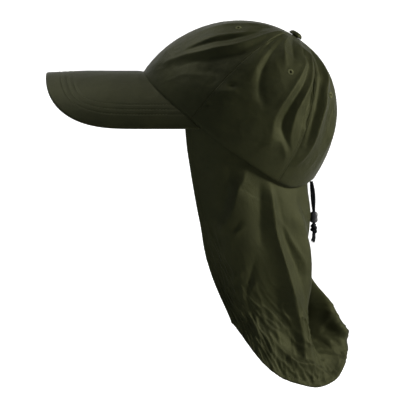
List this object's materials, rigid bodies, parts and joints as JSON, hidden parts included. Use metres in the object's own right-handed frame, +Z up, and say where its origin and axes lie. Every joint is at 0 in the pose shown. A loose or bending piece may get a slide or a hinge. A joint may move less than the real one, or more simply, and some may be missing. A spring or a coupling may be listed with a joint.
{
  "type": "legionnaire cap",
  "caption": "Soft panelled sun cap with an arched peak, a long neck flap, a top button, vent eyelets and a drawcord with a slider at the back.",
  "frame": {"origin": "the middle of the head opening, where a head holds the cap", "axes": "+Z up as worn, -X towards the tip of the peak, -Y towards the wearer's left; the opening tips down towards +X"},
  "size_m": [0.2856, 0.1538, 0.3474],
  "materials": {
    "cloth": "dark olive woven nylon with a low sheen",
    "thread": "olive sewing thread",
    "cord": "near-black braided cord",
    "lock": "moulded dark grey plastic"
  },
  "bodies": {
    "root": {"crown_front_left": "cloth", "crown_front_right": "cloth", "crown_side_left": "cloth", "crown_side_right": "cloth", "crown_back_left": "cloth", "crown_back_right": "cloth", "eyelet_front_left": "thread", "eyelet_front_right": "thread", "eyelet_side_left": "thread", "eyelet_side_right": "thread", "eyelet_back_left": "thread", "eyelet_back_right": "thread", "top_button": "cloth", "peak": "cloth", "neck_flap": "cloth", "drawcord_left": "cord", "drawcord_right": "cord", "cord_lock": "lock", "cord_knot": "cord", "cord_tail": "cord"}
  },
  "joints": []
}
